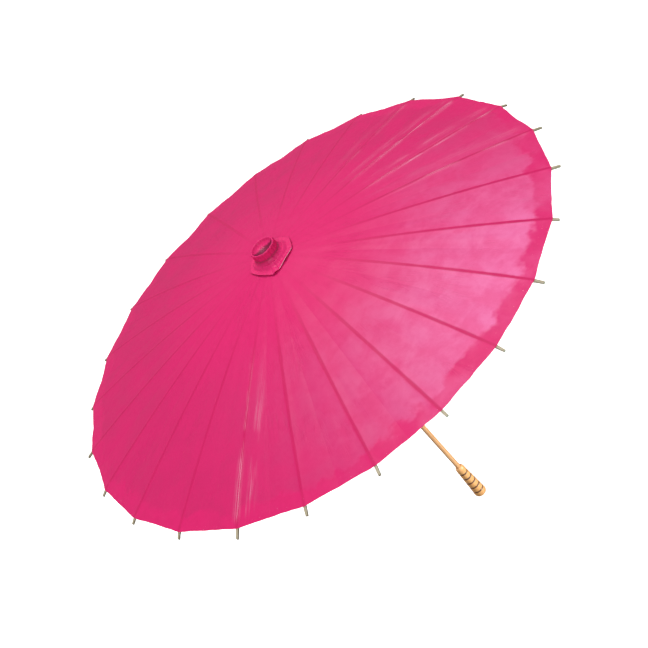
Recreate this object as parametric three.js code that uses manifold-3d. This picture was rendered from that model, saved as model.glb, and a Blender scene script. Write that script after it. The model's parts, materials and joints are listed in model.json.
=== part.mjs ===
// An oil-paper parasol, open, standing on its handle's end with +Z up the stick.
// The origin is the centre of the handle's end. Lengths are millimetres, angles are degrees.
import * as THREE from "three";
import { mergeVertices } from "three/addons/utils/BufferGeometryUtils.js";
import Module from "manifold-3d";

const wasm = await Module();
wasm.setup();

// ---------------------------------------------------------------- driving dimensions

const ribCount = 24;
const clearance = 0.3; // air between two pieces that bear on each other

// The linkage: every rib hinges on the crown, every stretcher on a rib and on the runner.
const pivotHeight = 596; // crown hinge circle above the handle's end
const pivotRadius = 12; // hinge circle of the crown and of the runner
const ribLength = 405; // crown hinge to rib tip, straight
const ribDrop = 13; // slope of that line below level when the parasol is open
const ribBow = 7; // how far the middle of the rib rises above that line
const ribDepth = 3;
const ribRootWidth = 2.2;
const ribJointWidth = 3.5; // where the stretcher enters the rib
const ribTipWidth = 4;
const ribJointAt = 168; // crown hinge to stretcher joint, along the rib
const stretcherDepth = 2.6;
const stretcherWidth = 3;
const stretcherFork = 42; // thin end of a stretcher that folds into its rib
const tongueThickness = 1; // thin ends that lie in the slots
const tongueOverhang = 2.2; // tongue beyond its hinge
const jointPinRadius = 0.5; // the pin through a rib and its stretcher
const hingeWireRadius = 0.4; // the wire that strings the tongues on the crown or the runner

// Crown and runner, turned from one wood and slotted alike.
const rimOutsideHinge = 2; // wood outside the hinge circle
const rimPastHinge = 4.5; // wood on the open side of the slots, measured from the hinge circle
const slotFloor = 1.8; // wood behind the closed end of the slots
const crownNeckRadius = 9.5;
const crownHeadRadius = 11;
const crownHeadRise = 11; // top of the crown above its hinge circle
const runnerSleeveRadius = 8.5;
const runnerSleeveDrop = 42; // foot of the runner below its hinge circle
const pegRadius = 1; // bamboo peg through the crown and the stick

// Stick and handle.
const stickRadius = 4;
const handleLength = 75;
const handleNeckRadius = 5.6;
const handleTopRadius = 7.1; // where the shoulder ends
const handleEndRadius = 10.4;
const handleFootRadius = 6.5; // flat at the handle's end
const handleKnob = 12.9; // height of the end knob
const handleRing = 11.8; // height of one turned ring
const handleRings = 4;
const handleGroove = 1.1; // depth of the grooves between the rings
const handleBoreFloor = 13; // wood left under the stick

// Spring catch in the stick, under the open runner.
const catchWidth = 1.8;
const catchThickness = 2.4;
const catchReach = 7; // tooth tip from the stick's axis
const catchTooth = 3; // height of the tooth's tip
const catchRamp = 9; // length of the slope under the tooth
const catchArm = 30; // pin to tooth
const catchPinRadius = 0.9;
const catchEyeWall = 0.7; // wood round the pin's hole

// Paper.
const paperThickness = 0.8; // paper and the oiled layers over it, as one sheet
const ribTipShow = 13; // bare rib beyond the paper
const coverSkirtRadius = 36; // the crown cover's skirt on the canopy
const coverTubeRadius = 18.5; // its tube, standing round the crown
const coverRise = 22; // top of the tube above the hinge circle
const coverTuck = 9; // how far its top edge is turned back inside
const coverTieRadius = 0.7; // thread tied round the cover's neck
const coverTieRise = 10;

// ---------------------------------------------------------------- derived dimensions

const radians = THREE.MathUtils.degToRad;
const slotWidth = tongueThickness + 2 * clearance;
const wireHole = hingeWireRadius + clearance + 0.05;
const rimRadius = pivotRadius + rimOutsideHinge;
const ribSwing = Math.hypot(tongueOverhang, ribDepth / 2); // corner of a turning tongue
const slotRootRadius = pivotRadius - ribSwing - clearance;
const slotDepth = ribSwing + clearance; // slot beyond the hinge circle, on its closed side
const tongueLength = rimPastHinge + 2.5; // past the rim in the folded pose too
const pegRise = slotDepth + slotFloor + 2.6; // the peg above the crown's hinge circle
const stickTop = pivotHeight + crownHeadRise - 0.5;
const bore = stickRadius + clearance;

// A point of a rib in its own frame: x along the chord from the hinge, rise above the chord.
function bowAt(x) {
  const u = x / ribLength;
  return 4 * ribBow * u * (1 - u);
}

// The stations along a rib where its bowed faces bend, which the paper over it shares.
const ribSpans = 6;
const ribStations = Array.from({ length: ribSpans + 1 }, (_, i) => (i * ribLength) / ribSpans);

// A point of a rib on the open parasol, as radius and height.
function meridian(x, rise) {
  const slope = radians(ribDrop);
  return [
    pivotRadius + x * Math.cos(slope) + rise * Math.sin(slope),
    pivotHeight - x * Math.sin(slope) + rise * Math.cos(slope),
  ];
}

const jointRise = bowAt(ribJointAt);
const linkLength = Math.hypot(ribJointAt, jointRise); // crown hinge to joint, joint to runner
const linkSlope = radians(ribDrop) - Math.atan2(jointRise, ribJointAt);
const runnerHeight = pivotHeight - 2 * linkLength * Math.sin(linkSlope);
// The slot in a rib starts where the open stretcher comes out under the rib.
const forkLead = (ribDepth + stretcherDepth) / 2 / Math.sin(2 * linkSlope) + 2 * clearance;
const catchTop = runnerHeight - runnerSleeveDrop - 0.5;
const catchPinHeight = catchTop - catchArm;
const catchPinOffset = stickRadius / 2;

// ---------------------------------------------------------------- shape helpers

// A closed geometry as a solid that can be joined and cut.
function toSolid(geometry) {
  const loose = geometry.index ? geometry.toNonIndexed() : geometry;
  const bare = new THREE.BufferGeometry();
  bare.setAttribute("position", loose.getAttribute("position"));
  const merged = mergeVertices(bare, 1e-4);
  const corners = merged.index.array;
  const kept = [];
  for (let i = 0; i < corners.length; i += 3) {
    const [a, b, c] = corners.slice(i, i + 3);
    if (a !== b && b !== c && c !== a) kept.push(a, b, c);
  }
  return new wasm.Manifold(
    new wasm.Mesh({
      numProp: 3,
      vertProperties: merged.attributes.position.array,
      triVerts: new Uint32Array(kept),
    }),
  );
}

// A solid as flat-shaded geometry.
function toGeometry(solid) {
  const { vertProperties, triVerts } = solid.getMesh();
  const geometry = new THREE.BufferGeometry();
  geometry.setAttribute("position", new THREE.BufferAttribute(vertProperties, 3));
  geometry.setIndex(new THREE.BufferAttribute(triVerts, 1));
  const flat = geometry.toNonIndexed();
  flat.computeVertexNormals();
  return flat;
}

// [radius, height] points turned about Z, listed anticlockwise with the radius to the right.
function turned(profile, segments) {
  const points = profile.map(([radius, height]) => new THREE.Vector2(radius, height));
  return toSolid(new THREE.LatheGeometry(points, segments).rotateX(Math.PI / 2));
}

function ring(inner, outer, bottom, top) {
  return turned(
    [
      [inner, bottom],
      [outer, bottom],
      [outer, top],
      [inner, top],
      [inner, bottom],
    ],
    ribCount,
  );
}

function block([x0, x1], [y0, y1], [z0, z1]) {
  const box = new THREE.BoxGeometry(x1 - x0, y1 - y0, z1 - z0);
  return toSolid(box.translate((x0 + x1) / 2, (y0 + y1) / 2, (z0 + z1) / 2));
}

// A round bar along Y.
function crossBar(radius, length, x = 0, z = 0, segments = 6) {
  return toSolid(new THREE.CylinderGeometry(radius, radius, length, segments).translate(x, 0, z));
}

// [x, z] outline, width along Y, centred on the XZ plane.
function sideSlab(outline, width) {
  const shape = new THREE.Shape(outline.map(([x, z]) => new THREE.Vector2(x, z)));
  const slab = new THREE.ExtrudeGeometry(shape, { depth: width, bevelEnabled: false });
  return toSolid(slab.translate(0, 0, -width / 2).rotateX(Math.PI / 2));
}

// [x, half width] points mirrored about the X axis, standing from -height to height.
function planSlab(halves, height) {
  const mirrored = halves.map(([x, half]) => [x, -half]).reverse();
  const outline = [...mirrored, ...halves];
  const shape = new THREE.Shape(outline.map(([x, y]) => new THREE.Vector2(x, y)));
  const slab = new THREE.ExtrudeGeometry(shape, { depth: 2 * height, bevelEnabled: false });
  return toSolid(slab.translate(0, 0, -height));
}

// ---------------------------------------------------------------- pieces

// A rib in its own frame: hinge at the origin, chord along +X, canopy side +Z.
function makeRib() {
  const top = ribStations.map((x) => [x, bowAt(x) + ribDepth / 2]);
  const bottom = ribStations.map((x) => [x, bowAt(x) - ribDepth / 2]);
  const side = sideSlab(
    [[-tongueOverhang, -ribDepth / 2], ...bottom, ...top.reverse(), [-tongueOverhang, ribDepth / 2]],
    2 * ribTipWidth,
  );
  const plan = planSlab(
    [
      [-2 * tongueOverhang, tongueThickness / 2],
      [tongueLength, tongueThickness / 2],
      [tongueLength + 4, ribRootWidth / 2],
      [ribJointAt - 40, ribJointWidth / 2],
      [ribJointAt + 60, ribJointWidth / 2],
      [ribLength + 1, ribTipWidth / 2],
    ],
    2 * (ribBow + ribDepth),
  );
  const forkSlot = block(
    [ribJointAt - forkLead, ribJointAt + stretcherFork - 2],
    [-slotWidth / 2, slotWidth / 2],
    [jointRise - 2 * ribDepth, jointRise + 2 * ribDepth],
  );
  return side
    .intersect(plan)
    .subtract(crossBar(wireHole, slotWidth))
    .subtract(forkSlot)
    .add(crossBar(jointPinRadius, slotWidth + 0.4, ribJointAt, jointRise));
}

// A stretcher in its own frame: runner hinge at the origin, rib joint on +X.
function makeStretcher() {
  const half = stretcherDepth / 2;
  const eye = jointPinRadius + clearance;
  const side = sideSlab(
    [
      [-tongueOverhang + 0.6, -half],
      [linkLength + 0.8, -half],
      [linkLength + eye + 0.6, -half / 2],
      [linkLength + eye + 0.6, half / 2],
      [linkLength + 0.8, half],
      [-tongueOverhang + 0.6, half],
      [-tongueOverhang, 0],
    ],
    2 * stretcherWidth,
  );
  const plan = planSlab(
    [
      [-2 * tongueOverhang, tongueThickness / 2],
      [tongueLength, tongueThickness / 2],
      [tongueLength + 4, ribRootWidth / 2],
      [60, stretcherWidth / 2],
      [linkLength - stretcherFork - 4, stretcherWidth / 2],
      [linkLength - stretcherFork, tongueThickness / 2],
      [linkLength + 2 * tongueOverhang, tongueThickness / 2],
    ],
    stretcherDepth,
  );
  return side
    .intersect(plan)
    .subtract(crossBar(wireHole, slotWidth))
    .subtract(crossBar(eye, slotWidth, linkLength));
}

// Radial slots and the wire's groove in a turned head whose hinge circle is at height 0.
// openSide is -1 where the slots open downwards and 1 where they open upwards.
function slotHead(head, openSide) {
  const reach = 2 * rimRadius;
  const closedEnd = -openSide * slotDepth;
  const openEnd = openSide * 2 * rimPastHinge;
  let cut = head;
  for (let i = 0; i < ribCount; i++) {
    const slot = block(
      [slotRootRadius, reach],
      [-slotWidth / 2, slotWidth / 2],
      [Math.min(closedEnd, openEnd), Math.max(closedEnd, openEnd)],
    );
    cut = cut.subtract(slot.rotate([0, 0, (i * 360) / ribCount]));
  }
  const grooveHalf = hingeWireRadius + clearance;
  const grooveFloor = pivotRadius - grooveHalf - 0.1;
  return cut.subtract(ring(grooveFloor, reach, -grooveHalf, grooveHalf));
}

function makeCrown() {
  const shoulder = slotDepth + slotFloor;
  const head = turned(
    [
      [bore, -rimPastHinge],
      [rimRadius - 0.6, -rimPastHinge],
      [rimRadius, -rimPastHinge + 0.6],
      [rimRadius, shoulder - 0.8],
      [rimRadius - 0.8, shoulder],
      [crownNeckRadius, shoulder + 1.5],
      [crownNeckRadius, crownHeadRise - 4],
      [crownHeadRadius, crownHeadRise - 3],
      [crownHeadRadius, crownHeadRise - 1],
      [crownHeadRadius - 1, crownHeadRise],
      [bore, crownHeadRise],
      [bore, -rimPastHinge],
    ],
    ribCount,
  );
  const pegHole = crossBar(pegRadius + clearance, 4 * crownHeadRadius, 0, pegRise, 12);
  return slotHead(head, -1).subtract(pegHole);
}

function makeRunner() {
  const shoulder = slotDepth + slotFloor;
  const sleeve = runnerSleeveRadius;
  const foot = -runnerSleeveDrop;
  const head = turned(
    [
      [bore + 0.1, foot],
      [sleeve - 0.5, foot],
      [sleeve + 0.5, foot + 1],
      [sleeve + 0.5, foot + 3],
      [sleeve - 1, foot + 5],
      [sleeve, -shoulder - 9],
      [sleeve + 1, -shoulder - 7],
      [sleeve, -shoulder - 5],
      [rimRadius, -shoulder],
      [rimRadius, rimPastHinge - 0.6],
      [rimRadius - 0.6, rimPastHinge],
      [bore + 0.1, rimPastHinge],
      [bore + 0.1, foot],
    ],
    ribCount,
  );
  return slotHead(head, 1);
}

function makeHingeWire() {
  return toSolid(new THREE.TorusGeometry(pivotRadius, hingeWireRadius, 6, ribCount));
}

function makeStick() {
  const foot = handleBoreFloor + clearance;
  const rod = turned(
    [
      [0, foot],
      [stickRadius, foot],
      [stickRadius, stickTop],
      [0, stickTop],
    ],
    32,
  );
  const half = catchWidth / 2 + clearance;
  const catchSlot = block(
    [-2 * stickRadius, 2 * stickRadius],
    [-half, half],
    [catchPinHeight - 3.5, catchTop + 2],
  );
  const pinHole = crossBar(catchPinRadius + clearance, 4 * stickRadius, catchPinOffset, catchPinHeight, 12);
  const pegHole = crossBar(pegRadius + clearance, 4 * stickRadius, 0, pivotHeight + pegRise, 12);
  return rod.subtract(catchSlot).subtract(pinHole).subtract(pegHole);
}

// The handle's radius at a height, before its grooves are cut.
function handleRadius(height) {
  const shoulderHeight = handleKnob + handleRings * handleRing;
  const share = Math.min(1, Math.max(0, (height - handleKnob / 2) / (shoulderHeight - handleKnob / 2)));
  return handleEndRadius + (handleTopRadius - handleEndRadius) * share;
}

function makeHandle() {
  const profile = [
    [0, 0],
    [handleFootRadius, 0],
    [handleEndRadius - 1.3, 1.2],
    [handleEndRadius, handleKnob * 0.35],
    [handleEndRadius, handleKnob * 0.7],
  ];
  for (let i = 0; i <= handleRings; i++) {
    const groove = handleKnob + i * handleRing;
    profile.push([handleRadius(groove) - handleGroove, groove]);
    if (i < handleRings) {
      profile.push([handleRadius(groove + handleRing * 0.25), groove + handleRing * 0.25]);
      profile.push([handleRadius(groove + handleRing * 0.75), groove + handleRing * 0.75]);
    }
  }
  const shoulder = handleKnob + handleRings * handleRing;
  const rise = handleLength - shoulder;
  profile.push(
    [handleTopRadius, shoulder + 0.2 * rise],
    [handleTopRadius - 0.1, shoulder + 0.55 * rise],
    [handleNeckRadius + 0.6, shoulder + 0.9 * rise],
    [handleNeckRadius, handleLength],
    [bore, handleLength],
    [bore, handleBoreFloor],
    [0, handleBoreFloor],
  );
  return turned(profile, 32);
}

// The catch in its own frame: pin at the origin, tooth pointing along +X.
function makeCatch() {
  const inner = -catchThickness / 2;
  const outer = catchThickness / 2;
  const eye = catchPinRadius + clearance + catchEyeWall;
  const tip = catchReach - catchPinOffset;
  const arm = sideSlab(
    [
      [-eye, -eye],
      [eye, -eye],
      [eye, eye],
      [outer, 2 * eye],
      [outer, catchArm - catchTooth - catchRamp],
      [tip, catchArm - catchTooth],
      [tip, catchArm],
      [inner, catchArm],
      [inner, 2 * eye],
      [-eye, eye],
    ],
    catchWidth,
  );
  return arm.subtract(crossBar(catchPinRadius + clearance, 2 * catchWidth, 0, 0, 12));
}

// The sheet's lower face lies on the ribs.
function sheetUnder(x) {
  return bowAt(x) + ribDepth / 2 + clearance;
}

function makeCanopy() {
  const start = (rimRadius + 0.6 - pivotRadius) / Math.cos(radians(ribDrop));
  const end = ribLength - ribTipShow;
  const stations = [start, ...ribStations.slice(1, -1), end];
  const under = stations.map((x) => meridian(x, sheetUnder(x)));
  const over = stations.map((x) => meridian(x, sheetUnder(x) + paperThickness)).reverse();
  return turned([...under, ...over, under[0]], ribCount);
}

// The crown's paper cover: a skirt on the canopy and a tube round the crown, its top edge turned in.
function makeCrownCover() {
  const sheet = paperThickness;
  const skirtEnd = (coverSkirtRadius - pivotRadius) / Math.cos(radians(ribDrop));
  const skirtRise = (x) => sheetUnder(x) + paperThickness + clearance;
  const tube = coverTubeRadius - sheet;
  const turn = (tube + 2.4 - pivotRadius) / Math.cos(radians(ribDrop)); // where the skirt turns up
  const top = pivotHeight + coverRise;
  const inner = tube - 3 * sheet;
  const profile = [
    [tube, meridian(turn, skirtRise(turn))[1] + 0.6],
    meridian(turn, skirtRise(turn)),
    meridian(skirtEnd, skirtRise(skirtEnd)),
    meridian(skirtEnd, skirtRise(skirtEnd) + sheet),
    meridian(turn + 4, skirtRise(turn + 4) + sheet + 0.6),
    [tube + sheet, pivotHeight + 6],
    [tube + sheet, top - 1.5],
    [tube - 0.6, top],
    [inner + 0.6, top],
    [inner, top - 1],
    [inner, top - coverTuck],
    [inner + sheet, top - coverTuck],
    [inner + sheet, top - sheet - 0.6],
    [tube - 0.4, top - sheet - 0.6],
    [tube, top - sheet - 1.2],
    [tube, meridian(turn, skirtRise(turn))[1] + 0.6],
  ];
  return turned(profile, ribCount);
}

// ---------------------------------------------------------------- assembly

const finishes = {
  paper: new THREE.MeshStandardMaterial({ color: 0xe0387a, roughness: 0.42, side: THREE.DoubleSide }),
  coverPaper: new THREE.MeshStandardMaterial({ color: 0xd93a78, roughness: 0.5 }),
  bamboo: new THREE.MeshStandardMaterial({ color: 0xd6c39a, roughness: 0.6 }),
  stickWood: new THREE.MeshStandardMaterial({ color: 0xe3b583, roughness: 0.45 }),
  handleWood: new THREE.MeshStandardMaterial({ color: 0xe5bd84, roughness: 0.4 }),
  headWood: new THREE.MeshStandardMaterial({ color: 0xcfa673, roughness: 0.55 }),
  steel: new THREE.MeshStandardMaterial({ color: 0xb9bcc0, roughness: 0.35, metalness: 1 }),
  thread: new THREE.MeshStandardMaterial({ color: 0xc73268, roughness: 0.8 }),
};

const parasol = new THREE.Group();

function place(parent, name, solid, finish, position = [0, 0, 0]) {
  const mesh = new THREE.Mesh(toGeometry(solid), finishes[finish]);
  mesh.name = name;
  mesh.position.set(...position);
  parent.add(mesh);
  return mesh;
}

place(parasol, "stick", makeStick(), "stickWood");
place(parasol, "handle", makeHandle(), "handleWood");
place(parasol, "crown", makeCrown(), "headWood", [0, 0, pivotHeight]);
place(parasol, "crown_wire", makeHingeWire(), "steel", [0, 0, pivotHeight]);
const peg = crossBar(pegRadius, 2 * crownNeckRadius - 1, 0, 0, 12);
place(parasol, "crown_peg", peg, "bamboo", [0, 0, pivotHeight + pegRise]);
place(parasol, "runner", makeRunner(), "headWood", [0, 0, runnerHeight]);
place(parasol, "runner_wire", makeHingeWire(), "steel", [0, 0, runnerHeight]);
place(parasol, "spring_catch", makeCatch(), "steel", [catchPinOffset, 0, catchPinHeight]);
const catchPin = crossBar(catchPinRadius, 1.6 * stickRadius, 0, 0, 12);
place(parasol, "catch_pin", catchPin, "steel", [catchPinOffset, 0, catchPinHeight]);
place(parasol, "canopy", makeCanopy(), "paper");
place(parasol, "crown_cover", makeCrownCover(), "coverPaper");
const tieRing = coverTubeRadius + clearance + coverTieRadius;
const tie = toSolid(new THREE.TorusGeometry(tieRing, coverTieRadius, 6, ribCount));
place(parasol, "cover_tie", tie, "thread", [0, 0, pivotHeight + coverTieRise]);

const rib = makeRib();
const stretcher = makeStretcher();
for (let i = 0; i < ribCount; i++) {
  const number = String(i + 1).padStart(2, "0");
  const spoke = new THREE.Group();
  spoke.rotation.z = (i * 2 * Math.PI) / ribCount;
  const ribMesh = place(spoke, `rib_${number}`, rib, "bamboo", [pivotRadius, 0, pivotHeight]);
  ribMesh.rotation.y = radians(ribDrop);
  const strutMesh = place(spoke, `stretcher_${number}`, stretcher, "bamboo", [pivotRadius, 0, runnerHeight]);
  strutMesh.rotation.y = -linkSlope;
  parasol.add(spoke);
}

export default parasol;
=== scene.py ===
"""An open oil-paper parasol: its looks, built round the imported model. Lengths are metres."""
import json
import math
import random

import bmesh
import bpy
import numpy as np
from mathutils import Matrix, Vector, noise


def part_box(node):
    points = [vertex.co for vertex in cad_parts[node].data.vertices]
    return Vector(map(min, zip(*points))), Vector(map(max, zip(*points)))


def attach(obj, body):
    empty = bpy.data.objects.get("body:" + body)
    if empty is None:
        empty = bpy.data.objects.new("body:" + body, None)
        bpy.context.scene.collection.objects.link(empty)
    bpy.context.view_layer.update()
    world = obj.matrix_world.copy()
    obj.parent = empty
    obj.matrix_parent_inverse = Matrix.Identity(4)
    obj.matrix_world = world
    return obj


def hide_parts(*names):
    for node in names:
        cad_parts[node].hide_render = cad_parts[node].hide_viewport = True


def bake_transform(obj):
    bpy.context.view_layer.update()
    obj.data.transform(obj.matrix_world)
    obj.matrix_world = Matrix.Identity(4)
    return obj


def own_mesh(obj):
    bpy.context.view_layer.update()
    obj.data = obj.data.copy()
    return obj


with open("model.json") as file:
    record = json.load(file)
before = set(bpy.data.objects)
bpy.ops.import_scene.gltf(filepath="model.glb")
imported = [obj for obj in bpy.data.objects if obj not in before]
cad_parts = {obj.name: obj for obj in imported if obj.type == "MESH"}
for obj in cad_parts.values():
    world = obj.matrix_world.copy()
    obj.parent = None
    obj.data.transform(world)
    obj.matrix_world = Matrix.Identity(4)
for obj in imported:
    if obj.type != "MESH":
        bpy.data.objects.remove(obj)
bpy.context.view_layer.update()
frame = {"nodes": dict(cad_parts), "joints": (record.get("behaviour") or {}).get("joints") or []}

# ---------------------------------------------------------------- what the frame says

JOINTS = {joint["name"]: joint for joint in frame["joints"]}
PIVOT_HEIGHT = JOINTS["canopy_fold"]["pos_m"][2]
RIB_COUNT = sum(name.startswith("rib_") for name in frame["nodes"])
PITCH = 2 * math.pi / RIB_COUNT
UP = Vector((0, 0, 1))


def paper_profile():
    """The height of the canopy's lower face over a rib, as a cubic of the radius, and its last radius."""
    points = [v.co for v in frame["nodes"]["canopy"].data.vertices]
    over_rib = sorted({(round(p.x, 5), round(p.z, 5)) for p in points if abs(p.y) < 1e-6 and p.x > 0})
    under = over_rib[::2]
    return np.poly1d(np.polyfit(*zip(*under), 3)), under[-1][0]


PAPER_HEIGHT, EDGE_RADIUS = paper_profile()

# ---------------------------------------------------------------- driving sizes

HUB_RADIUS = 0.015  # where the paper starts, under the crown's cover
STRIP_HALF = 0.0023  # half the width of paper that stays flat on a rib
STRIP_ALONE = 0.47  # where a strip covers this share of the gore, it has no half gore beside it
PAPER_LIFT = 0.0002  # the paper over the lower face of the CAD's canopy
PAPER_ROWS = 92
PAPER_COLUMNS = 11

RIDGE_DROP = 0.0006  # how far the paper falls away beside a rib
CREASE_DROP = 0.0010  # depth of the fold in the middle of a gore
EDGE_KINK = 0.0020  # how far that fold pulls the edge in
EDGE_FRAY = 0.0007  # unevenness of the cut edge
RIM_WIDTH = 0.045  # the kinks, the fray and the crumples fade out over this width of the rim
FREE_GAP = 0.0015, 0.009  # the paper is held below the first distance from a rib and free past the second
BULGE = 0.0006  # how far each half gore swells between rib and fold
BROAD_SAG = 0.0009  # wide hollows and swellings
LONG_WRINKLE = 0.0004  # narrow wrinkles along the ribs
HEM_CRUMPLE = 0.0004  # small crumples of the rim

HEM_WIDTH = 0.021  # pasted-over edge of the paper
DOUBLE_RADIUS = 0.085  # inside this the paper is double
SINGLE_REACH = 0.175  # over this length it thins to a single sheet
PAINTED_GLINT_RIBS = {0: 0.9, 1: 0.3, 14: 1.0, 22: 0.6, 23: 1.0}  # painted highlights: strength of the pale glint along the creases beside each listed rib, by rib from 0
PAINTED_GLINT_STARTS = 0.14, 0.24  # the radii between which the painted glints set in, and those where they end
PAINTED_GLINT_ENDS = 0.375, 0.39

SKIRT_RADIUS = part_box("crown_cover")[1].x
COVER_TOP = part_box("crown_cover")[1].z

# ---------------------------------------------------------------- small helpers


def smooth(value, low, high):
    """0 below low, 1 above high and a smooth step between them."""
    t = min(1.0, max(0.0, (value - low) / (high - low)))
    return t * t * (3 - 2 * t)


def spoke(rib):
    """Level unit vectors along rib number `rib` (from 0) and square to it."""
    angle = rib * PITCH
    along = Vector((math.cos(angle), math.sin(angle), 0))
    return along, Vector((-math.sin(angle), math.cos(angle), 0))


def rib_body(rib):
    return f"rib_{rib % RIB_COUNT + 1:02d}"


def new_object(name, mesh, material):
    obj = bpy.data.objects.new(name, mesh)
    bpy.context.scene.collection.objects.link(obj)
    mesh.materials.append(material)
    mesh.polygons.foreach_set("use_smooth", [True] * len(mesh.polygons))
    return obj


def grid_mesh(name, rows, closed=False):
    """A mesh through rows of points, closed round each row if asked."""
    width = len(rows[0])
    columns = width if closed else width - 1
    faces = [
        (i * width + j, i * width + (j + 1) % width, (i + 1) * width + (j + 1) % width, (i + 1) * width + j)
        for i in range(len(rows) - 1)
        for j in range(columns)
    ]
    mesh = bpy.data.meshes.new(name)
    mesh.from_pydata([p for row in rows for p in row], [], faces)
    return mesh


def set_attribute(mesh, name, values):
    layer = mesh.attributes.new(name, "FLOAT", "POINT")
    layer.data.foreach_set("value", np.asarray(values, np.float32))


def set_uv(mesh, coordinates):
    """One UV per vertex, in metres."""
    layer = mesh.uv_layers.new(name="metres")
    index = np.zeros(len(mesh.loops), np.int32)
    mesh.loops.foreach_get("vertex_index", index)
    layer.data.foreach_set("uv", np.asarray(coordinates, np.float32)[index].ravel())


# ---------------------------------------------------------------- materials


class Nodes:
    """A short way to write a node tree."""

    def __init__(self, name):
        self.material = bpy.data.materials.new(name)
        self.material.use_nodes = True
        self.tree = self.material.node_tree
        self.shader = self.tree.nodes["Principled BSDF"]
        self.output = self.tree.nodes["Material Output"]

    def add(self, kind, inputs=None, **settings):
        node = self.tree.nodes.new(kind)
        for key, value in settings.items():
            setattr(node, key, value)
        for key, value in (inputs or {}).items():
            self.put(node.inputs[key], value)
        return node

    def put(self, socket, value):
        if isinstance(value, bpy.types.NodeSocket):
            self.tree.links.new(value, socket)
        else:
            socket.default_value = value

    def set(self, **inputs):
        for key, value in inputs.items():
            self.put(self.shader.inputs[key.replace("_", " ")], value)

    def place(self):
        return self.add("ShaderNodeTexCoord").outputs["Object"]

    def metres(self):
        return self.add("ShaderNodeUVMap", uv_map="metres").outputs["UV"]

    def attribute(self, name):
        return self.add("ShaderNodeAttribute", attribute_name=name).outputs["Fac"]

    def stretch(self, vector, scale):
        return self.add("ShaderNodeMapping", {"Vector": vector, "Scale": scale}).outputs["Vector"]

    def noise(self, vector, scale, detail=4.0, roughness=0.5, distortion=0.0):
        inputs = {
            "Vector": vector,
            "Scale": scale,
            "Detail": detail,
            "Roughness": roughness,
            "Distortion": distortion,
        }
        return self.add("ShaderNodeTexNoise", inputs).outputs["Fac"]

    def math(self, operation, a, b=0.0):
        node = self.add("ShaderNodeMath", operation=operation)
        self.put(node.inputs[0], a)
        self.put(node.inputs[1], b)
        return node.outputs[0]

    def ramp(self, value, low, high, out_low=0.0, out_high=1.0):
        inputs = {
            "Value": value,
            "From Min": low,
            "From Max": high,
            "To Min": out_low,
            "To Max": out_high,
        }
        node = self.add("ShaderNodeMapRange", inputs, interpolation_type="SMOOTHSTEP")
        return node.outputs["Result"]

    def mix(self, share, a, b):
        node = self.add("ShaderNodeMix", data_type="RGBA")
        self.put(node.inputs[0], share)
        self.put(node.inputs[6], a)
        self.put(node.inputs[7], b)
        return node.outputs[2]

    def bump(self, height, strength, distance, normal=None):
        inputs = {"Height": height, "Strength": strength, "Distance": distance}
        if normal is not None:
            inputs["Normal"] = normal
        return self.add("ShaderNodeBump", inputs).outputs["Normal"]


PAPER_PINK = (0.700, 0.017, 0.148, 1)
PAPER_BRIGHT = (0.830, 0.019, 0.172, 1)  # the same pink, made up for the light that thin paper lets through
PAPER_DEEP = (0.590, 0.013, 0.112, 1)
PAPER_GLOW = (0.88, 0.37, 0.68, 1)
PAPER_GLINT_AND_FLECK = (0.93, 0.42, 0.58, 1)  # pale colour of the painted highlights on creases and on the skirt's edge, and of small pale flecks near the rim
COVER_PINK = (0.790, 0.026, 0.174, 1)
# painted shade: the dark colour laid into the cover's hollow and round its tie
COVER_PAINTED_SHADE = (0.20, 0.008, 0.048, 1)
THIN_SHARE = 0.30  # how much of the light the thinnest paper lets through


def paper_creases(n):
    """Bump of long creases along the ribs, small crumples and the fibres of the paper."""
    place, metres = n.place(), n.metres()
    long_noise = n.noise(n.stretch(metres, (14, 170, 1)), 1.0, 2.0, 0.45, 0.6)
    long_line = n.ramp(n.math("ABSOLUTE", n.math("SUBTRACT", long_noise, 0.5)), 0.0, 0.035, 1.0, 0.0)
    patch = n.ramp(n.noise(place, 13.0, 2.0), 0.5, 0.66)
    crumple = n.noise(place, 95.0, 3.0, 0.55)
    fibre = n.noise(n.stretch(metres, (700, 1600, 1)), 1.0, 3.0, 0.6)
    lines = n.bump(n.math("MULTIPLY", long_line, patch), 0.55, 0.0005)
    crumples = n.bump(crumple, 0.3, 0.0009, lines)
    return n.bump(fibre, 0.12, 0.0002, crumples)


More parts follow.
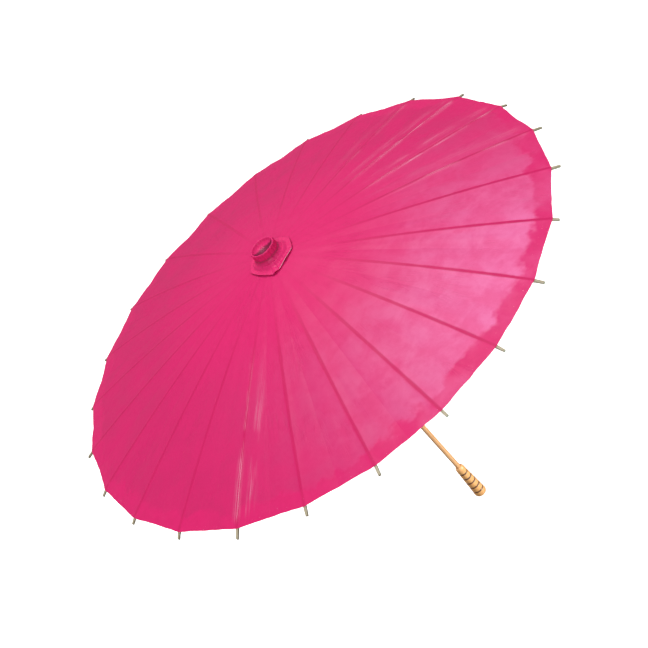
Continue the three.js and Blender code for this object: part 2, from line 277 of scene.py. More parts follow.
def paper_material():
    """Oiled paper: light passes where it is single, less at the hem, on the ribs and round the hub."""
    n = Nodes("oiled_paper")
    place, metres = n.place(), n.metres()
    clouds = n.noise(place, 26.0, 5.0, 0.6, 0.3)
    fine_clouds = n.noise(place, 90.0, 4.0, 0.6)
    normal = paper_creases(n)

    ragged = n.math("MULTIPLY", n.math("SUBTRACT", n.noise(place, 30.0, 3.0), 0.5), 0.055)
    edge_gap = n.math("ADD", n.attribute("edge_gap"), ragged)
    hem = n.ramp(edge_gap, HEM_WIDTH - 0.004, HEM_WIDTH + 0.006, 1.0, 0.0)
    hem = n.math("MULTIPLY", hem, n.ramp(n.noise(place, 14.0), 0.3, 0.6, 0.45, 0.9))
    single = n.ramp(n.attribute("hub_gap"), 0.0, SINGLE_REACH)
    rib_gap = n.attribute("rib_gap")
    uneven = n.math("ADD", rib_gap, n.math("MULTIPLY", n.noise(n.stretch(metres, (30, 1, 1)), 1.0), 0.0022))
    # The band over each rib lets less light through, and below it also darkens the paper as painted shade
    # along the rib's ridge.
    rib_glue_and_painted_shade = n.ramp(uneven, 0.0020, 0.0044, 1.0, 0.0)
    rib_glue_and_painted_shade = n.math("MULTIPLY", rib_glue_and_painted_shade, n.ramp(n.attribute("hub_gap"), -0.02, 0.12, 0.2, 1.0))
    thin = n.math("MULTIPLY", n.math("SUBTRACT", 1.0, hem), single)
    thin = n.math("MULTIPLY", thin, n.math("SUBTRACT", 1.0, n.math("MULTIPLY", rib_glue_and_painted_shade, 0.75)))
    broad_clouds = n.ramp(clouds, 0.33, 0.66, 1.0, 0.6)
    cloudy = n.math("MULTIPLY", broad_clouds, n.ramp(fine_clouds, 0.3, 0.7, 1.0, 0.85))
    clarity = n.math("MULTIPLY", thin, cloudy)

    pink = n.mix(n.ramp(fine_clouds, 0.45, 0.75, 0.0, 0.3), PAPER_PINK, PAPER_DEEP)
    pink = n.mix(clarity, pink, PAPER_BRIGHT)
    # Painted shade: the paper over the ribs is darkened towards the deep pink, in place of the shade along
    # each rib's ridge.
    pink = n.mix(n.math("MULTIPLY", rib_glue_and_painted_shade, 0.75), pink, PAPER_DEEP)
    # Painted highlights: pale glint streaks along the creases beside the listed ribs, and small pale flecks
    # near the rim in the same colour.
    fine_noise = n.noise(n.stretch(metres, (9, 1300, 1)), 1.0, 3.0, 0.6)
    breaks = n.ramp(n.noise(n.stretch(metres, (16, 30, 1)), 1.0, 2.0), 0.38, 0.52)
    painted_pale = n.math("MULTIPLY", n.ramp(fine_noise, 0.50, 0.60), n.math("MULTIPLY", breaks, n.attribute("wear")))
    fleck = n.ramp(n.noise(place, 420.0, 2.0), 0.70, 0.76)
    fleck = n.math("MULTIPLY", fleck, n.ramp(n.attribute("edge_gap"), 0.004, 0.016, 1.0, 0.0))
    painted_pale = n.math("MAXIMUM", painted_pale, n.math("MULTIPLY", fleck, 0.6))
    n.set(
        Base_Color=n.mix(painted_pale, pink, PAPER_GLINT_AND_FLECK),
        Roughness=n.ramp(clouds, 0.3, 0.7, 0.36, 0.5),
        Specular_IOR_Level=0.1,
        Coat_Weight=0.02,
        Coat_Roughness=0.22,
        Normal=normal,
    )
    glow = n.add("ShaderNodeBsdfTranslucent", {"Color": PAPER_GLOW, "Normal": normal})
    share = n.math("MULTIPLY", clarity, THIN_SHARE)
    mixed = n.add("ShaderNodeMixShader")
    n.put(mixed.inputs[0], share)
    n.put(mixed.inputs[1], n.shader.outputs[0])
    n.put(mixed.inputs[2], glow.outputs[0])
    n.put(n.output.inputs["Surface"], mixed.outputs[0])
    return n.material


def cover_material():
    """The crown cover's paper, with painted shade in its hollow on the side the camera stands on and round
    its tie, and a painted highlight along part of the skirt's edge.
    """
    n = Nodes("cover_paper")
    place = n.place()
    clouds = n.noise(place, 120.0, 4.0, 0.6)
    crumple = n.noise(place, 420.0, 4.0, 0.6)
    fibre = n.noise(place, 1800.0, 2.0)
    # painted shade darkens the hollow and the rows round the tie
    with_painted_shade = n.mix(n.attribute("stain"), n.mix(clouds, COVER_PINK, PAPER_PINK), COVER_PAINTED_SHADE)
    n.set(
        Base_Color=n.mix(n.attribute("wear"), with_painted_shade, PAPER_GLINT_AND_FLECK),
        Roughness=n.ramp(clouds, 0.3, 0.7, 0.32, 0.48),
        Specular_IOR_Level=0.15,
        Coat_Weight=0.02,
        Coat_Roughness=0.25,
        Normal=n.bump(fibre, 0.1, 0.0002, n.bump(crumple, 0.35, 0.0006)),
    )
    return n.material


def bamboo_material(name, light, dark, along=(9, 420, 1)):
    """Split bamboo: long fibres in a paler and a darker tone, and faint stains."""
    n = Nodes(name)
    metres = n.metres()
    fibres = n.noise(n.stretch(metres, along), 1.0, 5.0, 0.65, 0.2)
    darkening = n.noise(n.stretch(metres, (26, 60, 1)), 1.0, 3.0)
    colour = n.mix(n.ramp(fibres, 0.3, 0.72), light, dark)
    n.set(
        Base_Color=n.mix(n.ramp(darkening, 0.55, 0.75, 0.0, 0.5), colour, dark),
        Roughness=n.ramp(fibres, 0.3, 0.7, 0.42, 0.62),
        Normal=n.bump(fibres, 0.35, 0.0003),
    )
    return n.material


def wood_material(name, light, dark, rings=(55, 55, 7), burn=None, gloss=0.0):
    """Turned wood with its grain along Z, and burnt lines where the `groove` attribute says."""
    n = Nodes(name)
    place = n.place()
    figure = n.noise(n.stretch(place, rings), 1.0, 4.0, 0.55, 1.1)
    pores = n.noise(n.stretch(place, (1500, 1500, 60)), 1.0, 3.0, 0.6)
    colour = n.mix(n.ramp(figure, 0.34, 0.68), light, dark)
    colour = n.mix(n.ramp(pores, 0.5, 0.75, 0.0, 0.35), colour, dark)
    if burn:
        colour = n.mix(n.attribute("groove"), colour, burn)
    n.set(
        Base_Color=colour,
        Roughness=n.ramp(pores, 0.3, 0.7, 0.36, 0.55),
        Coat_Weight=gloss,
        Coat_Roughness=0.25,
        Normal=n.bump(pores, 0.25, 0.0002),
    )
    return n.material


def steel_material():
    n = Nodes("steel_wire")
    fine_noise = n.noise(n.place(), 2500.0, 3.0)
    n.set(
        Base_Color=n.mix(fine_noise, (0.52, 0.51, 0.49, 1), (0.34, 0.33, 0.31, 1)),
        Metallic=1.0,
        Roughness=n.ramp(fine_noise, 0.3, 0.7, 0.28, 0.45),
    )
    return n.material


def thread_material():
    n = Nodes("cotton_thread")
    twist = n.noise(n.place(), 1400.0, 2.0)
    n.set(
        Base_Color=n.mix(twist, (0.62, 0.03, 0.14, 1), (0.42, 0.015, 0.09, 1)),
        Roughness=0.8,
        Normal=n.bump(twist, 0.5, 0.0003),
    )
    return n.material


PAPER = paper_material()
COVER = cover_material()
BAMBOO = bamboo_material("rib_bamboo", (0.56, 0.50, 0.36, 1), (0.36, 0.30, 0.19, 1))
STRETCHER_BAMBOO = bamboo_material("stretcher_bamboo", (0.66, 0.53, 0.34, 1), (0.50, 0.37, 0.20, 1))
STICK_WOOD = wood_material(
    "stick_wood", (0.84, 0.49, 0.23, 1), (0.70, 0.34, 0.12, 1), (90, 90, 5), gloss=0.3
)
HANDLE_WOOD = wood_material(
    "handle_wood", (0.82, 0.46, 0.18, 1), (0.68, 0.33, 0.10, 1), burn=(0.10, 0.03, 0.008, 1), gloss=0.5
)
HEAD_WOOD = wood_material("head_wood", (0.70, 0.54, 0.34, 1), (0.55, 0.38, 0.20, 1), gloss=0.1)
STEEL = steel_material()
THREAD = thread_material()

# ---------------------------------------------------------------- pieces made from their CAD node

WELD_DISTANCE = 2e-6
FLAT_ANGLE = math.radians(0.5)  # faces that meet under this angle are one flat face
EDGE_ANGLE = math.radians(32)  # faces that meet over this angle have an edge between them


def spoke_uv(obj, rib):
    """UV in metres along and across a rib or a stretcher."""
    along, across = spoke(rib)
    points = [v.co for v in obj.data.vertices]
    set_uv(obj.data, [(p.dot(along), p.dot(across) + 0.6 * p.z + rib) for p in points])


def refined(node, material, body, bevel=0.00025, segments=2, reshape=None):
    """A piece with the node's shape, its edges broken and its round faces smooth."""
    mesh = frame["nodes"][node].data.copy()
    mesh.name = node + "_fine"
    mesh.materials.clear()
    welded = bmesh.new()
    welded.from_mesh(mesh)
    bmesh.ops.remove_doubles(welded, verts=welded.verts, dist=WELD_DISTANCE)
    bmesh.ops.dissolve_limit(welded, angle_limit=FLAT_ANGLE, verts=welded.verts, edges=welded.edges)
    if reshape:
        reshape(welded)
    welded.to_mesh(mesh)
    welded.free()
    for layer in list(mesh.uv_layers):
        mesh.uv_layers.remove(layer)
    obj = new_object(node + "_fine", mesh, material)
    edges = obj.modifiers.new("broken_edges", "BEVEL")
    edges.width = bevel
    edges.segments = segments
    edges.limit_method = "ANGLE"
    edges.angle_limit = EDGE_ANGLE
    edges.harden_normals = True
    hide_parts(node)
    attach(obj, body)
    return obj


TIP_SHORTEST = 0.0050  # the bare rib ends are cut up to this much short of the design
TIP_BEND = 0.0010  # how far an end is set aside, up or down
TIP_ROOT = 0.0005  # the paper's edge to where the bare end starts
TIP_WHITTLED = 0.4  # the most that an end is narrowed, as a share of its width


def vary_tip(rib, rng):
    """Shortens the bare end of a rib, whittles it and bends it a little aside."""
    along, across = spoke(rib)
    shorter = rng.uniform(0, TIP_SHORTEST)
    whittled = rng.uniform(0.05, TIP_WHITTLED)
    aside = rng.uniform(-TIP_BEND, TIP_BEND)
    lift = rng.uniform(-TIP_BEND, TIP_BEND)
    bare = EDGE_RADIUS + TIP_ROOT

    def reshape(welded):
        parts = welded.verts[:] + welded.edges[:] + welded.faces[:]
        bmesh.ops.bisect_plane(welded, geom=parts, plane_co=along * bare, plane_no=along)
        for vertex in welded.verts:
            if vertex.co.dot(along) > bare + 2 * TIP_ROOT:
                vertex.co -= across * vertex.co.dot(across) * whittled
                vertex.co += across * aside + UP * lift - along * shorter

    return reshape


def make_ribs():
    rng = random.Random(11)
    made = []
    for rib in range(RIB_COUNT):
        name = rib_body(rib)
        piece = refined(name, BAMBOO, name, reshape=vary_tip(rib, rng))
        spoke_uv(piece, rib)
        made.append(piece)
    return made


def make_stretchers():
    for rib in range(RIB_COUNT):
        name = f"stretcher_{rib + 1:02d}"
        piece = refined(name, STRETCHER_BAMBOO, name)
        spoke_uv(piece, rib)


# ---------------------------------------------------------------- the paper


def gore_kinks():
    rng = random.Random(5)
    return [EDGE_KINK * rng.uniform(0, 1.1) ** 2 for _ in range(RIB_COUNT)]


KINKS = gore_kinks()


def gore_point(gore, radius, share):
    """A point of the paper between rib number `gore` and the next, `share` of the way across."""
    gore %= RIB_COUNT
    near, far = spoke(gore)[0], spoke(gore + 1)[0]
    chord = (near - far).length * radius
    gap = chord * min(share, 1 - share)
    inward = 2 * min(share, 1 - share)
    free = smooth(gap, *FREE_GAP)
    across = (share - 0.5) * chord
    outer = smooth(radius, 0.04, 0.3)
    rim = smooth(radius, EDGE_RADIUS - RIM_WIDTH, EDGE_RADIUS)

    fray = noise.noise(Vector((across * 70, gore * 7.7, 3.0))) * EDGE_FRAY
    reach = radius + rim * free * (fray - KINKS[gore] * inward)
    point = (near * (1 - share) + far * share) * reach
    point.z = PAPER_HEIGHT(radius) + PAPER_LIFT

    drop = RIDGE_DROP * outer * smooth(gap, STRIP_HALF * 0.8, FREE_GAP[1])
    drop += CREASE_DROP * outer * (1 - 0.6 * rim) * inward * (0.4 + 0.6 * inward)
    drop -= BULGE * outer * math.sin(math.pi * inward)
    broad = noise.noise(Vector((radius * 15, across * 24, gore * 3.7)))
    streak = noise.noise(Vector((radius * 9, across * 130, gore * 5.3)))
    crumple = noise.noise(Vector((radius * 42, across * 60, gore * 9.1)))
    relief = BROAD_SAG * outer * broad + LONG_WRINKLE * outer * streak
    relief += HEM_CRUMPLE * rim * crumple
    point.z += free * relief - drop
    return point


def painted_glint_at(rib, radius, offset):
    """How strong the painted highlight along a crease is `offset` metres to the side of a rib."""
    beside = smooth(offset, -0.009, -0.003) - smooth(offset, -0.001, 0.004)
    beyond = smooth(offset, 0.010, 0.016) - smooth(offset, 0.022, 0.028)
    glinting = PAINTED_GLINT_RIBS.get(rib, 0.0) * (beside + 0.4 * beyond)
    return glinting * smooth(radius, *PAINTED_GLINT_STARTS) * (1 - smooth(radius, *PAINTED_GLINT_ENDS))


def paper_sheet(name, rib, shares, radii):
    """Paper at the given shares of the gores beside a rib: negative ones lie before it."""
    rows, uv = [], []
    values = {"edge_gap": [], "hub_gap": [], "rib_gap": [], "wear": []}
    for radius in radii:
        chord = 2 * radius * math.sin(PITCH / 2)
        row = []
        for share in shares(radius):
            before = share < 0
            point = gore_point(rib - 1, radius, 1 + share) if before else gore_point(rib, radius, share)
            row.append(point)
            uv.append((radius, share * chord + 0.23 * rib))
            values["edge_gap"].append(EDGE_RADIUS - radius)
            values["hub_gap"].append(radius - DOUBLE_RADIUS)
            values["rib_gap"].append(abs(share) * chord)
            values["wear"].append(painted_glint_at(rib, radius, share * chord))
        rows.append(row)
    mesh = grid_mesh(name, rows)
    set_uv(mesh, uv)
    for attribute, numbers in values.items():
        set_attribute(mesh, attribute, numbers)
    return new_object(name, mesh, PAPER)


def strip_share(radius):
    """The strip's half width as a share of the gore's."""
    return min(0.5, STRIP_HALF / (2 * radius * math.sin(PITCH / 2)))


def make_paper(ribs):
    """Each rib carries a strip glued on it and half of the gore on either side."""
    radii = list(np.linspace(HUB_RADIUS, EDGE_RADIUS, PAPER_ROWS))
    flap_radii = [radius for radius in radii if strip_share(radius) < STRIP_ALONE]
    for rib in range(RIB_COUNT):
        along, across = spoke(rib)

        def strip_shares(radius):
            edge = strip_share(radius)
            return [edge * t for t in (-1, -0.5, 0, 0.5, 1)]

        strip = paper_sheet(f"paper_strip_{rib + 1:02d}", rib, strip_shares, radii)
        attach(strip, rib_body(rib))
        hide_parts("canopy")
        for side, word in ((1, "left"), (-1, "right")):

            def flap_shares(radius, side=side):
                inner = strip_share(radius)
                steps = [inner + (0.5 - inner) * j / PAPER_COLUMNS for j in range(PAPER_COLUMNS + 1)]
                return steps if side > 0 else [-t for t in reversed(steps)]

            flap = paper_sheet(f"paper_{word}_{rib + 1:02d}", rib, flap_shares, flap_radii)
            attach(flap, rib_body(rib))
            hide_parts("canopy")
            middle = EDGE_RADIUS / 2
            anchor = along * middle + across * side * STRIP_HALF
            anchor.z = PAPER_HEIGHT(middle)
            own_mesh(flap)


# ---------------------------------------------------------------- the crown's paper cover

LIP_HEIGHT = COVER_TOP - PIVOT_HEIGHT
TIE_RADIUS = 0.0193
TIE_HEIGHT = 0.0102
COVER_SEGMENTS = 192
COVER_THICKNESS = 0.0004
# The declared flat size of the tube was set to suit the sheet's size rule, and wasn't measured:
# the profile below is 0.041 m long, and its widest ring is 0.148 m round.
SKIRT_LIFT = 0.0011  # the skirt over the canopy's paper
BEND_START, BEND_END = 0.0010, 0.0100  # distances beyond the tube where the skirt's bend would start and end; this script works out the points but bends nothing
HOLLOW_RADIUS = 0.0164
# The painted shade in the hollow lies on the side the camera stands on, and its edge curves past the axis.
PAINTED_SHADE_SIDE = math.radians(251)
PAINTED_SHADE_REACH = 0.0085  # how far past the axis the painted shade reaches, away from its own side
PAINTED_SHADE_CURVE = 26  # per metre, how strongly the painted shade's edge curves
PAINTED_SHADE_BLUR = 0.0016
THREAD_RADIUS = 0.00045
PAINTED_GLINT_EDGE = (249, 306)  # the stretch of the skirt's edge given a painted highlight, pale as if the lifted edge caught the light, degrees
# The folded corners of the skirt, as direction in degrees and radius as a share of the skirt's.
SKIRT_CORNERS = ((40, 1.0), (98, 0.97), (155, 0.97), (232, 1.14), (247, 1.08), (308, 0.99), (352, 1.03))


def cover_fold(angle, strength):
    """Radial puckers of gathered paper, uneven round the ring."""
    ring = Vector((math.cos(angle), math.sin(angle), 0.0))
    large = noise.noise(ring * 1.7 + Vector((0, 0, 4.0)))
    small = math.sin(19 * angle + 4.0 * large) * (0.5 + noise.noise(ring * 2.9))
    return strength * (0.8 * small + 1.1 * large)


def cover_profile():
    """Radius, height over the hinge circle, fold strength and painted shade, from the skirt's top to the
    floor.

    Inside HOLLOW_RADIUS the painted shade comes from the hollow's own shade function instead.
    """
    return [
        (0.0236, 0.0050, 0.0006, 0.0),
        (0.0218, 0.0064, 0.0010, 0.0),
        # the rows round the tie carry painted shade, strongest at the tie's groove
        (0.0206, 0.0084, 0.0010, 0.1),
        (TIE_RADIUS, TIE_HEIGHT, 0.0005, 0.5),
        (0.0198, 0.0119, 0.0010, 0.1),
        (0.0193, 0.0145, 0.0012, 0.0),
        (0.0191, 0.0175, 0.0011, 0.0),
        (0.0195, 0.0200, 0.0010, 0.0),
        (0.0192, LIP_HEIGHT - 0.0005, 0.0009, 0.0),
        (0.0179, LIP_HEIGHT, 0.0009, 0.0),
        (0.0167, LIP_HEIGHT - 0.0009, 0.0009, 0.0),
        (0.0161, 0.0195, 0.0008, 0.0),
        (0.0152, 0.0180, 0.0007, 0.0),
        (0.0136, 0.0166, 0.0006, 0.0),
        (0.0112, 0.0152, 0.0005, 0.0),
        (0.0085, 0.0140, 0.0004, 0.0),
        (0.0060, 0.0130, 0.0003, 0.0),
        (0.0030, 0.0124, 0.0002, 0.0),
        (0.0004, 0.0122, 0.0, 0.0),
    ]


def skirt_edge(angle):
    """Radius of the skirt's edge, nearly straight from corner to corner, and the share of the way there."""
    degrees = math.degrees(angle) % 360
    corners = [(a + turn, share) for turn in (-360, 0, 360) for a, share in SKIRT_CORNERS]
    first, first_share = [c for c in corners if c[0] <= degrees][-1]
    last, last_share = [c for c in corners if c[0] > degrees][0]
    before, after = math.radians(degrees - first), math.radians(last - degrees)
    straight = math.sin(before + after) / (math.sin(after) / first_share + math.sin(before) / last_share)
    way = before / (before + after)
    rounded = first_share + (last_share - first_share) * way
    return SKIRT_RADIUS * (0.6 * straight + 0.4 * rounded), way


def lifted_skirt(radius, angle):
    """The skirt lies a little above the paper, wavy and lifted at its edge."""
    ring = Vector((math.cos(angle), math.sin(angle), 0.0))
    reach = smooth(radius, 0.024, SKIRT_RADIUS)
    wave = noise.noise(ring * 2.3 + Vector((7.0, 0, 0)))
    curl = math.sin(math.pi * skirt_edge(angle)[1]) ** 2
    return PAPER_HEIGHT(radius) + SKIRT_LIFT + reach * (0.0010 + 0.0008 * wave + 0.0012 * curl)


def hollow_painted_shade(x, y):
    """Painted shade darkens the hollow on the side the camera stands on, up to a curved edge beyond the
    axis.
    """
    away = x * math.cos(PAINTED_SHADE_SIDE) + y * math.sin(PAINTED_SHADE_SIDE)
    beside = y * math.cos(PAINTED_SHADE_SIDE) - x * math.sin(PAINTED_SHADE_SIDE)
    return smooth(away + PAINTED_SHADE_REACH - PAINTED_SHADE_CURVE * beside**2, -PAINTED_SHADE_BLUR, PAINTED_SHADE_BLUR)


def make_cover_tube():
    rows, darkening = [], []
    for radius, height, strength, stain in cover_profile():
        row = []
        for j in range(COVER_SEGMENTS):
            angle = 2 * math.pi * j / COVER_SEGMENTS
            r = radius + cover_fold(angle, strength)
            x, y = r * math.cos(angle), r * math.sin(angle)
            row.append(Vector((x, y, PIVOT_HEIGHT + height)))
            darkening.append(hollow_painted_shade(x, y) if radius < HOLLOW_RADIUS else stain)
        rows.append(row)
    mesh = grid_mesh("cover_tube", rows, closed=True)
    mesh.flip_normals()
    set_attribute(mesh, "stain", darkening)
    tube = new_object("cover_tube", mesh, COVER)
    rounding = tube.modifiers.new("rounding", "SUBSURF")
    rounding.levels = rounding.render_levels = 1
    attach(tube, "root")
    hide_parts("crown_cover")
    return tube


def make_cover_skirt():
    """One sector of skirt for each rib, from the tube out over the canopy."""
    made = []
    across_steps, out_steps = 8, 14
    first_radius, first_height, first_strength = cover_profile()[0][:3]
    for rib in range(RIB_COUNT):
        rows, painted_pale = [], []
        for i in range(out_steps + 1):
            t = i / out_steps
            settle = smooth(t, 0.0, 0.5)
            row = []
            for j in range(across_steps + 1):
                angle = (rib + (j / across_steps - 0.5)) * PITCH
                radius = first_radius + (skirt_edge(angle)[0] - first_radius) * t
                height = (1 - settle) * (PIVOT_HEIGHT + first_height) + settle * lifted_skirt(radius, angle)
                radius += cover_fold(angle, first_strength) * (1 - t)
                row.append(Vector((radius * math.cos(angle), radius * math.sin(angle), height)))
                # painted highlight: the edge row along this stretch is made pale
                glinting = PAINTED_GLINT_EDGE[0] < math.degrees(angle) % 360 < PAINTED_GLINT_EDGE[1]
                painted_pale.append(float(glinting and i == out_steps))
            rows.append(row)
        name = f"cover_skirt_{rib + 1:02d}"
        mesh = grid_mesh(name, rows)
        set_attribute(mesh, "wear", painted_pale)
        sector = new_object(name, mesh, COVER)
        thickness = sector.modifiers.new("thickness", "SOLIDIFY")
        thickness.thickness = COVER_THICKNESS
        along = spoke(rib)[0]
        start, end = along * (first_radius + BEND_START), along * (first_radius + BEND_END)
        start.z = end.z = PIVOT_HEIGHT
        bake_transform(sector)
        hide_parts("crown_cover")
        made.append(sector)
    return made


def make_cover_tie():
    """A thread wound twice round the cover's neck."""
    curve = bpy.data.curves.new("cover_tie_thread", "CURVE")
    curve.dimensions = "3D"
    curve.bevel_depth = THREAD_RADIUS
    curve.bevel_resolution = 3
    line = curve.splines.new("POLY")
    turns, steps = 2, 72
    line.points.add(turns * steps - 1)
    for i, point in enumerate(line.points):
        angle = 2 * math.pi * i / steps
        r = TIE_RADIUS + 0.0004 + cover_fold(angle, 0.0005)
        height = PIVOT_HEIGHT + TIE_HEIGHT + 2 * THREAD_RADIUS * (i / steps - 1)
        height += 0.0003 * math.sin(2 * angle)
        point.co = (r * math.cos(angle), r * math.sin(angle), height, 1)
    tie = bpy.data.objects.new("cover_tie_thread", curve)
    bpy.context.scene.collection.objects.link(tie)
    curve.materials.append(THREAD)
    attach(tie, "root")
    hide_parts("cover_tie")


def make_cover():
    tube = make_cover_tube()
    skirt = make_cover_skirt()
    make_cover_tie()


# ---------------------------------------------------------------- handle

HANDLE_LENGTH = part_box("handle")[1].z
HANDLE_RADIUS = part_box("handle")[1].x
HANDLE_KNOB = 0.0129  # length of the end knob
HANDLE_RING = 0.0118  # length of one ring
HANDLE_RINGS = 4
GROOVE_DEPTH = 0.0014
GROOVE_BURN = 0.0008, 0.0022  # burnt up to the first distance from a groove, plain past the second
NECK_RADIUS = 0.0050
TOP_RADIUS = 0.0076
FOOT_RADIUS = 0.0065
SOCKET_CLEARANCE = 0.0003  # between the stick and the handle's bore
SOCKET_DEPTH = 0.004


def handle_radius(z):
    """The turned outline: an end knob, four rounded rings and a shoulder under the neck."""
    rings_top = HANDLE_KNOB + HANDLE_RINGS * HANDLE_RING
    taper = HANDLE_RADIUS + (TOP_RADIUS - HANDLE_RADIUS) * max(0.0, z - HANDLE_KNOB / 2) / rings_top
    if z < HANDLE_KNOB:
        u = abs(2 * z / HANDLE_KNOB - 1)
        low = FOOT_RADIUS if z < HANDLE_KNOB / 2 else taper - GROOVE_DEPTH
        return low + (taper - low) * math.sqrt(max(0.0, 1 - u**3))
    if z < rings_top:
        u = abs(2 * ((z - HANDLE_KNOB) % HANDLE_RING) / HANDLE_RING - 1)
        return taper - GROOVE_DEPTH * (0.15 * u**2 + 0.85 * u**9)
    t = (z - rings_top) / (HANDLE_LENGTH - rings_top)
    shoulder = NECK_RADIUS + (TOP_RADIUS + 0.0001 - NECK_RADIUS) * math.cos(math.pi / 2 * t**3)
    return shoulder - GROOVE_DEPTH * (1 - min(1.0, t / 0.12)) ** 3


def make_handle():
    segments, steps = 96, 240
    heights = [HANDLE_LENGTH * i / steps for i in range(steps + 1)]
    profile = [(handle_radius(z), z) for z in heights]
    stick_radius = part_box("stick")[1].x
    bore = stick_radius + SOCKET_CLEARANCE
    profile = [(0.0004, 0.0)] + profile + [(bore, HANDLE_LENGTH), (bore, HANDLE_LENGTH - SOCKET_DEPTH)]
    rows, groove = [], []
    lines = [HANDLE_KNOB + HANDLE_RING * i for i in range(HANDLE_RINGS + 1)]
    for radius, z in profile:
        nearest = min(abs(z - line) for line in lines)
        row = []
        for j in range(segments):
            angle = 2 * math.pi * j / segments
            row.append(Vector((radius * math.cos(angle), radius * math.sin(angle), z)))
            groove.append(1 - smooth(nearest, *GROOVE_BURN))
        rows.append(row)
    mesh = grid_mesh("handle_turned", rows, closed=True)
    set_attribute(mesh, "groove", groove)
    handle = new_object("handle_turned", mesh, HANDLE_WOOD)
    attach(handle, "root")
    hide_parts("handle")


def make_hardware():
    """The stick, the two turned heads and the small metal and bamboo parts."""
    refined("stick", STICK_WOOD, "root", 0.0002)
    refined("crown", HEAD_WOOD, "root", 0.0002)
    refined("runner", HEAD_WOOD, "runner", 0.0002)
    refined("crown_wire", STEEL, "root", 0.00005, 1)
    refined("runner_wire", STEEL, "runner", 0.00005, 1)
    refined("catch_pin", STEEL, "root", 0.0001, 1)
    for node, body in (("spring_catch", "catch"), ("crown_peg", "root")):
        piece = refined(node, STRETCHER_BAMBOO, body, 0.00015)
        set_uv(piece.data, [(v.co.z, v.co.x + v.co.y) for v in piece.data.vertices])


# ---------------------------------------------------------------- camera, floor and light

CAMERA_AIM = Vector((-0.0068, 0.0024, 0.4525))
CAMERA_DISTANCE = 1.9525
CAMERA_HEADING = math.radians(70.95)
CAMERA_DIP = math.radians(33.59)
CAMERA_ROLL = math.radians(42)
CAMERA_LENS = 74.7

FLOOR_RADIUS = 14
FLOOR_HEIGHT = -0.0005
GLOW_TARGET = 0.11, -0.42, 0.54  # just beyond the rim of the paper that glows
GLOW_LIGHT = 0.6, 1, 0.95
HANDLE_TARGET = 0, 0, 0.06


def direction(heading, climb):
    """The unit vector towards a heading (from +X) and an angle above the horizon."""
    flat = math.cos(climb)
    return Vector((flat * math.cos(heading), flat * math.sin(heading), math.sin(climb)))


def make_camera():
    camera = bpy.data.objects.new("camera", bpy.data.cameras.new("camera"))
    bpy.context.scene.collection.objects.link(camera)
    forward = direction(CAMERA_HEADING, -CAMERA_DIP)
    level_right = forward.cross(UP).normalized()
    level_up = level_right.cross(forward)
    up = level_up * math.cos(CAMERA_ROLL) + level_right * math.sin(CAMERA_ROLL)
    right = forward.cross(up)
    camera.location = CAMERA_AIM - forward * CAMERA_DISTANCE
    camera.rotation_mode = "QUATERNION"
    camera.rotation_quaternion = Matrix((right, up, -forward)).transposed().to_quaternion()
    camera.data.lens = CAMERA_LENS
    camera.data.clip_end = 60
    bpy.context.scene.camera = camera


def make_floor():
    bpy.ops.mesh.primitive_circle_add(
        vertices=96, radius=FLOOR_RADIUS, fill_type="NGON", location=(0, 0, FLOOR_HEIGHT)
    )
    floor = bpy.context.object
    floor.name = "floor"
    n = Nodes("pale_floor")
    grain = n.noise(n.place(), 3.0)
    n.set(
        Base_Color=n.mix(grain, (0.86, 0.86, 0.86, 1), (0.88, 0.88, 0.88, 1)),
        Roughness=0.9,
        Emission_Color=(1, 1, 1, 1),
        Emission_Strength=0.75,
    )
    floor.data.materials.append(n.material)
    floor.visible_diffuse = False
    floor.visible_glossy = False
    floor.visible_transmission = False


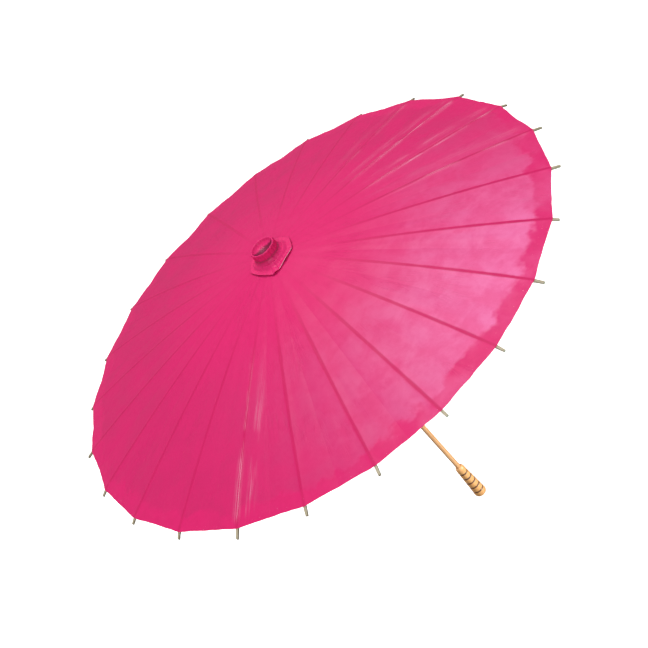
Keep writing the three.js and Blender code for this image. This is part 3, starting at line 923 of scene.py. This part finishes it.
def make_lamp(
    name, heading, climb, distance, size, power, target=(0, 0, 0.5), colour=(1, 1, 1), spread=180
):
    """A soft lamp seen from its target at a heading from +X and a climb over the horizon, in degrees.

    Distance and size are in metres, power in watts and spread in degrees.
    """
    lamp = bpy.data.lights.new(name, "AREA")
    lamp.shape = "DISK"
    lamp.size = size
    lamp.energy = power
    lamp.color = colour
    lamp.spread = math.radians(spread)
    obj = bpy.data.objects.new(name, lamp)
    bpy.context.scene.collection.objects.link(obj)
    towards = direction(math.radians(heading), math.radians(climb))
    obj.location = Vector(target) + towards * distance
    obj.rotation_mode = "QUATERNION"
    obj.rotation_quaternion = towards.to_track_quat("Z", "Y")
    obj.visible_camera = False


def make_world():
    """Pale surroundings: bright to the eye, softer as light, and dim from below."""
    world = bpy.data.worlds.new("studio")
    bpy.context.scene.world = world
    world.use_nodes = True
    tree = world.node_tree
    back = tree.nodes["Background"]
    place = tree.nodes.new("ShaderNodeTexCoord")
    split = tree.nodes.new("ShaderNodeSeparateXYZ")
    tree.links.new(place.outputs["Generated"], split.inputs[0])
    height = tree.nodes.new("ShaderNodeMapRange")
    tree.links.new(split.outputs["Z"], height.inputs["Value"])
    height.inputs["From Min"].default_value = -0.25
    height.inputs["From Max"].default_value = 0.3
    height.inputs["To Min"].default_value = 0.08
    height.inputs["To Max"].default_value = 0.45
    back.inputs["Color"].default_value = (1, 1, 1, 1)
    seen = tree.nodes.new("ShaderNodeLightPath")
    bright = tree.nodes.new("ShaderNodeMix")
    tree.links.new(seen.outputs["Is Camera Ray"], bright.inputs[0])
    tree.links.new(height.outputs[0], bright.inputs[2])
    bright.inputs[3].default_value = 1.0
    tree.links.new(bright.outputs[0], back.inputs["Strength"])


def make_lights():
    make_world()
    make_lamp("top", 48, 68, 3.8, 2.0, 87)
    make_lamp("front", 240, 35, 3.4, 1.4, 36)
    make_lamp("back_sheen", 45, 50, 2.4, 1.0, 2)
    under_rim = {"target": GLOW_TARGET, "colour": GLOW_LIGHT, "spread": 74}
    make_lamp("under_glow", 0, -90, 0.52, 0.36, 1.15, **under_rim)
    make_lamp("handle_back", 120, 10, 1.3, 0.3, 0.4, target=HANDLE_TARGET, spread=30)
    make_lamp("handle_fill", 300, 10, 1.3, 0.3, 0.7, target=HANDLE_TARGET, spread=30)


# ---------------------------------------------------------------- the scene

make_camera()
make_paper(make_ribs())
make_stretchers()
make_cover()
make_handle()
make_hardware()
make_floor()
make_lights()
bpy.context.scene.view_settings.view_transform = "Standard"
